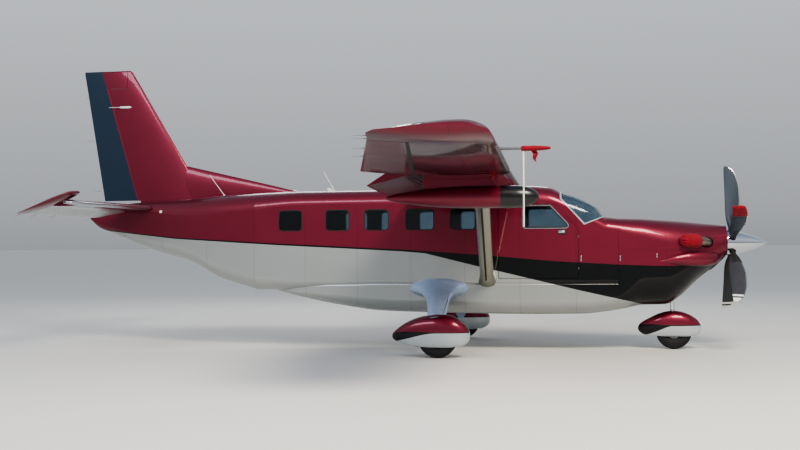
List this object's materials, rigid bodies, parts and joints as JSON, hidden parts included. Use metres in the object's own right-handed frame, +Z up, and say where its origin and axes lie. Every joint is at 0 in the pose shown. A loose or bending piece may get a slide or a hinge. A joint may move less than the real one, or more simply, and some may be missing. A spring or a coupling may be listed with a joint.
{
  "type": "single-engine turboprop plane",
  "caption": "Single-engine turboprop utility plane with a high strut-braced wing, fixed faired nose-wheel gear, a belly cargo pod and a radar pod under the right wing.",
  "frame": {"origin": "on the ground, below the centre of the whole plane's box", "axes": "+X points to the nose, +Y to the plane's left side, +Z up"},
  "size_m": [11.504, 13.72, 4.766],
  "materials": {
    "red_paint": "deep metallic red gloss paint on aluminium skin",
    "wing_paint": "deep metallic red gloss paint on aluminium skin",
    "black_paint": "gloss black paint",
    "dark_paint": "gloss dark slate paint on ribbed aluminium skin",
    "cowl_paint": "deep metallic red gloss paint",
    "silver_paint": "pearl silver gloss paint on aluminium skin",
    "polished": "polished aluminium",
    "leg_metal": "polished silver paint",
    "steel": "brushed steel",
    "engine": "dull grey",
    "blade_paint": "matt black paint on composite, white tip bands",
    "fairing_paint": "gloss paint on moulded composite",
    "radome": "gloss black",
    "panel_plastic": "matt dark grey",
    "tyre": "black rubber",
    "glass": "tinted acrylic window",
    "upholstery": "grey-brown leather and cloth"
  },
  "bodies": {
    "airframe": {"wing_left": "wing_paint", "wing_right": "wing_paint", "strut_left": "polished", "strut_right": "polished", "radar_pod": "fairing_paint", "radome": "radome", "windshield": "glass", "cabin_lower": "silver_paint", "side_wall_left": "red_paint", "side_wall_right": "red_paint", "glazing_right": "glass", "glazing_left_front": "glass", "glazing_left_rear": "glass", "cabin_roof": "red_paint", "stabilizer": "red_paint", "tail_cone": "red_paint", "fin": "red_paint", "cowl_upper": "cowl_paint", "cowl_lower": "black_paint", "belly_pod": "silver_paint", "engine": "engine", "exhaust_left": "steel", "exhaust_right": "steel", "main_leg_left": "leg_metal", "main_leg_right": "leg_metal", "main_pant_left": "fairing_paint", "main_pant_right": "fairing_paint", "nose_leg": "leg_metal", "seats": "upholstery", "instrument_panel": "panel_plastic"},
    "propeller": {"propeller_hub": "steel", "spinner": "polished", "blade_1": "blade_paint", "blade_2": "blade_paint", "blade_3": "blade_paint", "blade_4": "blade_paint", "blade_5": "blade_paint"},
    "flap_left": {"flap_left": "wing_paint"},
    "flap_right": {"flap_right": "wing_paint"},
    "aileron_left": {"aileron_left": "wing_paint"},
    "aileron_right": {"aileron_right": "wing_paint"},
    "elevator": {"elevator_left": "silver_paint", "elevator_right": "silver_paint"},
    "rudder": {"rudder": "dark_paint"},
    "crew_door_left": {"crew_door_left": "red_paint", "crew_door_glass_left": "glass"},
    "crew_door_right": {"crew_door_right": "red_paint", "crew_door_glass_right": "glass"},
    "cargo_door_upper": {"cargo_door_upper": "red_paint", "cargo_door_glass": "glass"},
    "cargo_door_lower": {"cargo_door_lower": "red_paint"},
    "main_wheel_left": {"main_wheel_left": "polished", "main_tyre_left": "tyre"},
    "main_wheel_right": {"main_wheel_right": "polished", "main_tyre_right": "tyre"},
    "nose_gear": {"nose_fork": "leg_metal", "nose_pant": "fairing_paint"},
    "nose_wheel": {"nose_wheel": "polished", "nose_tyre": "tyre"}
  },
  "joints": [
    {"name": "propeller_spin", "type": "hinge", "parent": "airframe", "child": "propeller", "pos_m": [5.205, 0, 1.695], "axis": [1, 0, 0], "continuous": true},
    {"name": "flap_right_swing", "type": "hinge", "parent": "airframe", "child": "flap_right", "pos_m": [0.61, -0.785, 2.56294], "axis": [0, -0.9991, 0.0432], "range_deg": [-20, 15]},
    {"name": "flap_left_swing", "type": "hinge", "parent": "airframe", "child": "flap_left", "pos_m": [0.61, 0.785, 2.56294], "axis": [0, -0.9991, -0.0432], "range_deg": [-20, 15]},
    {"name": "aileron_right_swing", "type": "hinge", "parent": "airframe", "child": "aileron_right", "pos_m": [0.71998, -3.97, 2.70347], "axis": [0.1296, -0.9898, 0.0597], "range_deg": [-20, 20]},
    {"name": "aileron_left_swing", "type": "hinge", "parent": "airframe", "child": "aileron_left", "pos_m": [0.71998, 3.97, 2.70347], "axis": [-0.1296, -0.9898, -0.0597], "range_deg": [-20, 20]},
    {"name": "elevator_swing", "type": "hinge", "parent": "airframe", "child": "elevator", "pos_m": [-4.9, 0, 2.351], "axis": [0, -1, 0], "range_deg": [-45, 0]},
    {"name": "rudder_swing", "type": "hinge", "parent": "airframe", "child": "rudder", "pos_m": [-4.754, 0, 2.488], "axis": [-0.2805, 0, 0.9598], "range_deg": [-25, 25]},
    {"name": "crew_door_left_swing", "type": "hinge", "parent": "airframe", "child": "crew_door_left", "pos_m": [2.81, 0.711, 1.56], "axis": [0, 0, -1], "range_deg": [0, 85]},
    {"name": "crew_door_right_swing", "type": "hinge", "parent": "airframe", "child": "crew_door_right", "pos_m": [2.81, -0.711, 1.56], "axis": [0, 0, 1], "range_deg": [0, 85]},
    {"name": "cargo_door_upper_swing", "type": "hinge", "parent": "airframe", "child": "cargo_door_upper", "pos_m": [-0.745, 0.745, 2.32], "axis": [1, 0, 0], "range_deg": [0, 95]},
    {"name": "cargo_door_lower_swing", "type": "hinge", "parent": "airframe", "child": "cargo_door_lower", "pos_m": [-0.745, 0.745, 1.15], "axis": [-1, 0, 0], "range_deg": [0, 120]},
    {"name": "main_wheel_left_spin", "type": "hinge", "parent": "airframe", "child": "main_wheel_left", "pos_m": [0.72, 1.73, 0.29743], "axis": [0, 1, 0], "continuous": true},
    {"name": "main_wheel_right_spin", "type": "hinge", "parent": "airframe", "child": "main_wheel_right", "pos_m": [0.72, -1.73, 0.29743], "axis": [0, 1, 0], "continuous": true},
    {"name": "nose_steer", "type": "hinge", "parent": "airframe", "child": "nose_gear", "pos_m": [4.28, 0, 0.6], "axis": [0, 0, 1], "range_deg": [-30, 30]},
    {"name": "nose_wheel_spin", "type": "hinge", "parent": "nose_gear", "child": "nose_wheel", "pos_m": [4.3, 0, 0.2776], "axis": [0, 1, 0], "continuous": true}
  ],
  "couplings": [
    {"joint": "flap_left_swing", "follows": "flap_right_swing", "ratio": 1},
    {"joint": "aileron_left_swing", "follows": "aileron_right_swing", "ratio": -1}
  ]
}
